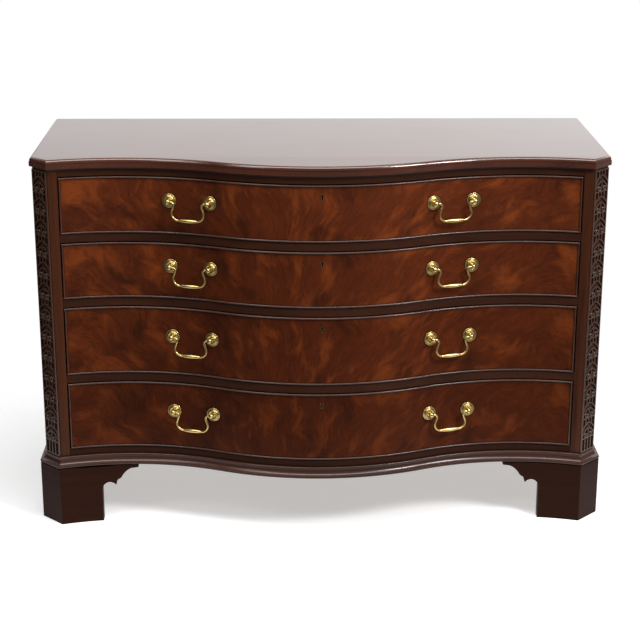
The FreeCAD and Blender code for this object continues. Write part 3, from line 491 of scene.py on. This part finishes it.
def edge_path(out, back):
    """Places in plan from the back left corner round the front to the back right corner."""
    end = front_corner(out)
    side = half_width + out
    turn_y = corner_y - out * (math.sqrt(2) - 1)
    stations = [end * (2 * i / STATIONS - 1) for i in range(STATIONS + 1)]
    front = [(x, front_y(x, out)) for x in stations]
    return [(-side, back), (-side, turn_y), *front, (side, turn_y), (side, back)]


def quarter(out, z, reach, rise, start):
    """Points of a quarter curve round (out, z), from that start angle on."""
    turns = [start + math.pi / 2 * i / CURVE_STEPS for i in range(CURVE_STEPS + 1)]
    return [(out + reach * math.cos(turn), z + rise * math.sin(turn)) for turn in turns]


def half_round(out, z, radius):
    """Points of a half-round nose round (out, z), from its foot to its head."""
    return quarter(out, z, radius, radius, -math.pi / 2) + quarter(out, z, radius, radius, 0.0)[1:]


def add_run(mesh, rings):
    """Closed run through a row of equal outlines."""
    rows = [[mesh.verts.new(spot) for spot in ring] for ring in rings]
    for first, second in zip(rows, rows[1:]):
        for i, vertex in enumerate(first):
            mesh.faces.new((first[i - 1], vertex, second[i], second[i - 1]))
    mesh.faces.new(rows[0])
    mesh.faces.new(rows[-1])


def make_piece(mesh, node, body, material):
    """Smooth piece that stands for a node."""
    bmesh.ops.recalc_face_normals(mesh, faces=mesh.faces)
    data = bpy.data.meshes.new(node + "_run")
    mesh.to_mesh(data)
    mesh.free()
    data.shade_smooth()
    data.set_sharp_from_angle(angle=math.radians(32))
    data.materials.append(material)
    piece = bpy.data.objects.new(node + "_run", data)
    bpy.context.scene.collection.objects.link(piece)
    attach(piece, body)
    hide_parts(node)


def make_beads(number):
    """Cockbead of a drawer: half-round noses on four strips."""
    node = "drawer_%d_cockbead" % number
    low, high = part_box(node)
    nose = BEAD_WIDE / 2
    shoulder, back = BEAD_PROUD - nose, BEAD_PROUD - BEAD_DEEP
    outline = half_round(shoulder, nose, nose) + [(back, BEAD_WIDE), (back, 0.0)]
    stations = [low.x + (high.x - low.x) * i / STATIONS for i in range(STATIONS + 1)]
    mesh = bmesh.new()
    for edge in (low.z, high.z - BEAD_WIDE):
        add_run(mesh, [[(x, front_y(x, out), edge + across) for out, across in outline] for x in stations])
    for edge in (low.x, high.x - BEAD_WIDE):
        add_run(mesh, [[(edge + across, front_y(edge + across, out), z) for out, across in outline]
                       for z in (low.z + BEAD_WIDE, high.z - BEAD_WIDE)])
    make_piece(mesh, node, "drawer_%d" % number, BEAD)


def make_top():
    """Top: undercut, flat edge, quirk and rounded crown on the front, cants and sides."""
    low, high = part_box("top_board")
    crown = TOP_OUT - TOP_QUIRK
    quirk = high.z - TOP_CROWN
    under = low.z + TOP_UNDER
    levels = [(0.0, low.z), (0.0, under), (TOP_OUT, under), (TOP_OUT, quirk), (crown, quirk)]
    levels += quarter(crown - TOP_ROUND, high.z - TOP_ROUND, TOP_ROUND, TOP_ROUND, 0.0)
    mesh = bmesh.new()
    add_run(mesh, [[(x, y, z) for x, y in edge_path(out, high.y)] for out, z in levels])
    make_piece(mesh, "top_board", "case", TOP)


def make_base():
    """Base moulding: two flats, a cove and a bead."""
    low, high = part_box("base_moulding")
    reach = min(BASE_OUT, bow_y - BOW - low.y)    # no further out than the meshed front of the frame
    ledge = reach - BASE_QUIRK
    neck = ledge - COVE_REACH
    nose = BASE_BEAD / 2
    flat = low.z + BASE_FLAT
    cove = quarter(ledge, flat + BASE_FLAT + COVE_HIGH, COVE_REACH, COVE_HIGH, math.pi)
    section = [(0.0, low.z), (reach, low.z), (reach, flat), (ledge, flat), *reversed(cove),
               *half_round(neck, high.z - nose, nose), (0.0, high.z)]
    runs = [[(x, y, z) for x, y in edge_path(out, high.y)] for out, z in section]
    mesh = bmesh.new()
    add_run(mesh, list(zip(*runs)))
    make_piece(mesh, "base_moulding", "case", BASE)


make_top()
make_base()
for number in DRAWERS:
    make_beads(number)


# Studio

def flat_panel(name, half):
    mesh = bpy.data.meshes.new(name)
    corners = [(-half, -half, 0), (half, -half, 0), (half, half, 0), (-half, half, 0)]
    mesh.from_pydata(corners, [], [(0, 1, 2, 3)])
    panel = bpy.data.objects.new(name, mesh)
    bpy.context.scene.collection.objects.link(panel)
    return panel


def seen_straight(net):
    """1 on rays that show the background: straight from the eye, mirrored or through glass."""
    path = net.add("LightPath").outputs
    either = net.maths("MAXIMUM", path["Is Camera Ray"], path["Is Glossy Ray"])
    return net.maths("MAXIMUM", either, path["Is Transmission Ray"])


def soft_light(name, place, aim, width, height, watts):
    light = bpy.data.lights.new(name, "AREA")
    light.shape = "RECTANGLE"
    light.size, light.size_y = width, height
    light.energy = watts
    lamp = bpy.data.objects.new(name, light)
    lamp.location = place
    lamp.rotation_euler = (Vector(aim) - Vector(place)).to_track_quat("-Z", "Y").to_euler()
    lamp.visible_camera = False
    bpy.context.scene.collection.objects.link(lamp)


floor = flat_panel("studio_floor", 3.4)
floor_material, net, shader, place = new_material("studio_floor_white")
shader.inputs["Base Color"].default_value = (0.80, 0.80, 0.80, 1.0)
shader.inputs["Roughness"].default_value = 0.9
shader.inputs["Specular IOR Level"].default_value = 0.1
x, y, z = net.parts(place)
away = net.vector("LENGTH", net.xyz(net.maths("MULTIPLY", x, 0.6), y, 0.0))
net.put(net.spread(away, 0.46, 0.95, 1.0, 0.0, smooth=True), shader.inputs["Alpha"])
shader.inputs["Emission Color"].default_value = (1.0, 1.0, 1.0, 1.0)
net.put(net.maths("MULTIPLY", seen_straight(net), 0.45), shader.inputs["Emission Strength"])
floor.data.materials.append(floor_material)

world = bpy.data.worlds.new("studio")
bpy.context.scene.world = world
world.use_nodes = True
net = Net(world.node_tree)
background = world.node_tree.nodes["Background"]
background.inputs["Color"].default_value = (1.0, 1.0, 1.0, 1.0)
world.cycles.sampling_method = "NONE"
path = net.add("LightPath").outputs
across, ahead, up = net.parts(net.add("TexCoord").outputs["Generated"])
room = net.spread(ahead, 0.15, 0.75, 0.16, 1.10, smooth=True)
room = net.maths("MULTIPLY", room, net.maths("ADD", 1.0, net.maths("MULTIPLY", across, 0.6)))
ambient = net.spread(across, -1.0, 1.0, 0.16, 0.40)
mirrored = net.maths("MULTIPLY", path["Is Glossy Ray"], net.maths("SUBTRACT", room, ambient))
level = net.maths("ADD", ambient, mirrored)
straight = net.maths("MAXIMUM", path["Is Camera Ray"], path["Is Transmission Ray"])
net.put(net.maths("MAXIMUM", level, straight), background.inputs["Strength"])

soft_light("left_softbox", (-1.9, -2.4, 3.2), (0.0, -0.2, 0.6), 1.0, 1.0, 18.0)
soft_light("right_softbox", (2.4, -2.1, 3.2), (0.0, -0.2, 0.6), 1.0, 1.0, 126.0)
soft_light("overhead_softbox", (0.0, -0.9, 3.0), (0.0, -0.2, 0.5), 2.6, 1.2, 62.0)

camera_data = bpy.data.cameras.new("camera")
camera = bpy.data.objects.new("camera", camera_data)
bpy.context.scene.collection.objects.link(camera)
camera_data.sensor_width = 36.0
camera_data.lens = 92.87
camera_data.shift_x = -0.0167
camera_data.clip_end = 60.0
pitch, yaw, roll = math.radians(18.09), math.radians(1.50), math.radians(0.21)
turn, tilt = Matrix.Rotation(-yaw, 4, "Z"), Matrix.Rotation(math.pi / 2 - pitch, 4, "X")
stand = Matrix.Translation((-0.0765, -3.9635, 1.7532))
camera.matrix_world = stand @ turn @ tilt @ Matrix.Rotation(roll, 4, "Z")
bpy.context.scene.camera = camera
bpy.context.scene.view_settings.view_transform = "Standard"
